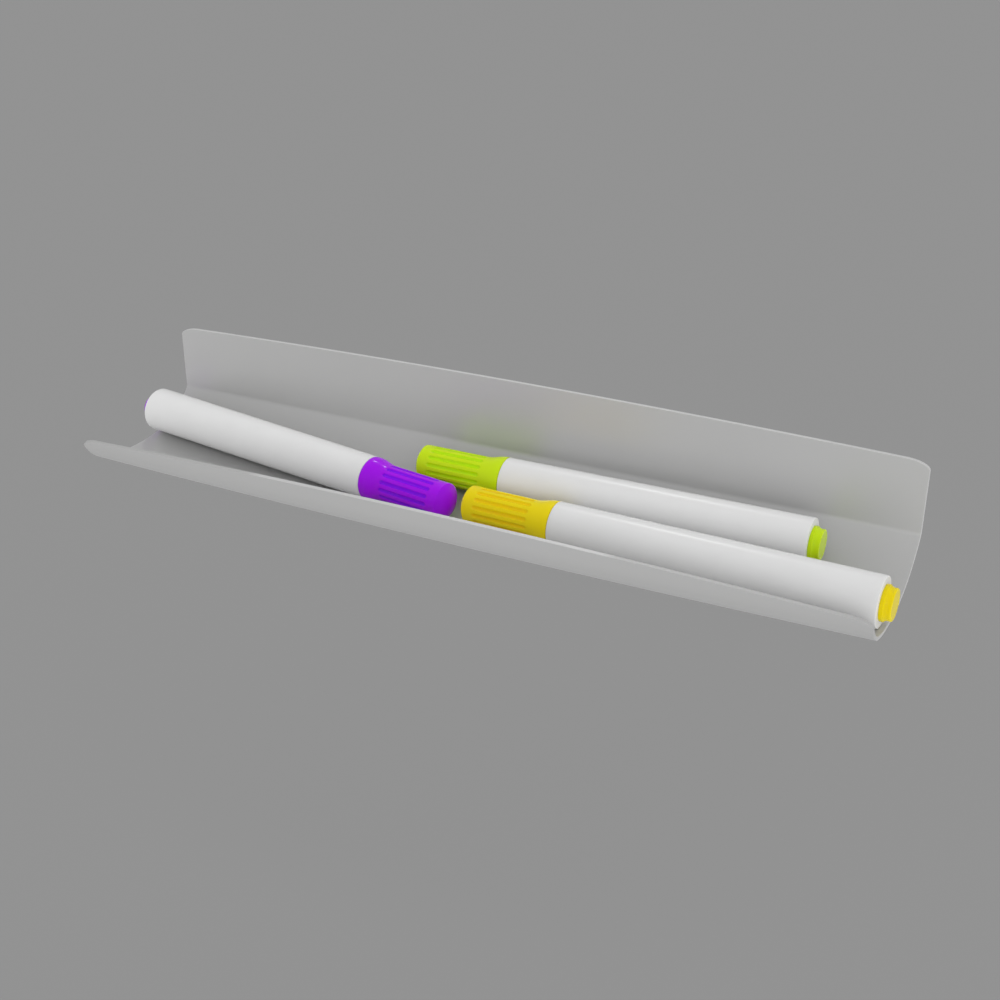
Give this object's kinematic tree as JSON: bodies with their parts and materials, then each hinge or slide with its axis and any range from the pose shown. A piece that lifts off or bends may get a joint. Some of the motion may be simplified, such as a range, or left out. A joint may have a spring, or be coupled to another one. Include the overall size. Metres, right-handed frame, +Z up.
{
  "type": "whiteboard pen holder",
  "caption": "Bent sheet channel that hangs on a whiteboard by magnets behind its back wall, with capped dry-wipe markers lying in it.",
  "frame": {"origin": "middle of the plane in which the three pads rest on the board, at the centre of the middle pad", "axes": "+X along the channel to the right, +Y into the board, +Z up"},
  "size_m": [0.2846, 0.0683, 0.0395],
  "materials": {
    "satin_aluminium": "satin anodised sheet",
    "magnet_nickel": "nickel plated",
    "adhesive_tape": "thin adhesive film",
    "soft_pad": "matt soft sheet",
    "white_barrel": "smooth satin moulding",
    "grey_front": "smooth moulding",
    "lime_plastic": "satin moulded plastic, coloured through",
    "yellow_plastic": "satin moulded plastic, coloured through",
    "purple_plastic": "satin moulded plastic, coloured through",
    "lime_fibre": "ink-soaked fibre",
    "yellow_fibre": "ink-soaked fibre",
    "purple_fibre": "ink-soaked fibre"
  },
  "bodies": {
    "channel": {"tray": "satin_aluminium", "magnet_left": "magnet_nickel", "tape_left": "adhesive_tape", "pad_left": "soft_pad", "magnet_center": "magnet_nickel", "tape_center": "adhesive_tape", "pad_center": "soft_pad", "magnet_right": "magnet_nickel", "tape_right": "adhesive_tape", "pad_right": "soft_pad"},
    "lime_cap_body": {"lime_cap": "lime_plastic"},
    "lime_marker_body": {"lime_barrel": "white_barrel", "lime_end_plug": "lime_plastic", "lime_front_section": "grey_front", "lime_nib": "lime_fibre", "lime_ink_core": "lime_fibre"},
    "yellow_cap_body": {"yellow_cap": "yellow_plastic"},
    "yellow_marker_body": {"yellow_barrel": "white_barrel", "yellow_end_plug": "yellow_plastic", "yellow_front_section": "grey_front", "yellow_nib": "yellow_fibre", "yellow_ink_core": "yellow_fibre"},
    "purple_cap_body": {"purple_cap": "purple_plastic"},
    "purple_marker_body": {"purple_barrel": "white_barrel", "purple_end_plug": "purple_plastic", "purple_front_section": "grey_front", "purple_nib": "purple_fibre", "purple_ink_core": "purple_fibre"}
  },
  "joints": [
    {"name": "lime_lift", "type": "slide", "parent": "channel", "child": "lime_cap_body", "axis": [0, 0, 1], "range_m": [0, 0.06]},
    {"name": "lime_uncap", "type": "slide", "parent": "lime_cap_body", "child": "lime_marker_body", "axis": [1, 0.0014, 0.0037], "range_m": [0, 0.036]},
    {"name": "yellow_lift", "type": "slide", "parent": "channel", "child": "yellow_cap_body", "axis": [0, 0, 1], "range_m": [0, 0.06]},
    {"name": "yellow_uncap", "type": "slide", "parent": "yellow_cap_body", "child": "yellow_marker_body", "axis": [0.9992, -0.0383, 0.0068], "range_m": [0, 0.036]},
    {"name": "purple_lift", "type": "slide", "parent": "channel", "child": "purple_cap_body", "axis": [0, 0, 1], "range_m": [0, 0.06]},
    {"name": "purple_uncap", "type": "slide", "parent": "purple_cap_body", "child": "purple_marker_body", "axis": [-0.9902, 0.139, 0.0153], "range_m": [0, 0.036]}
  ]
}
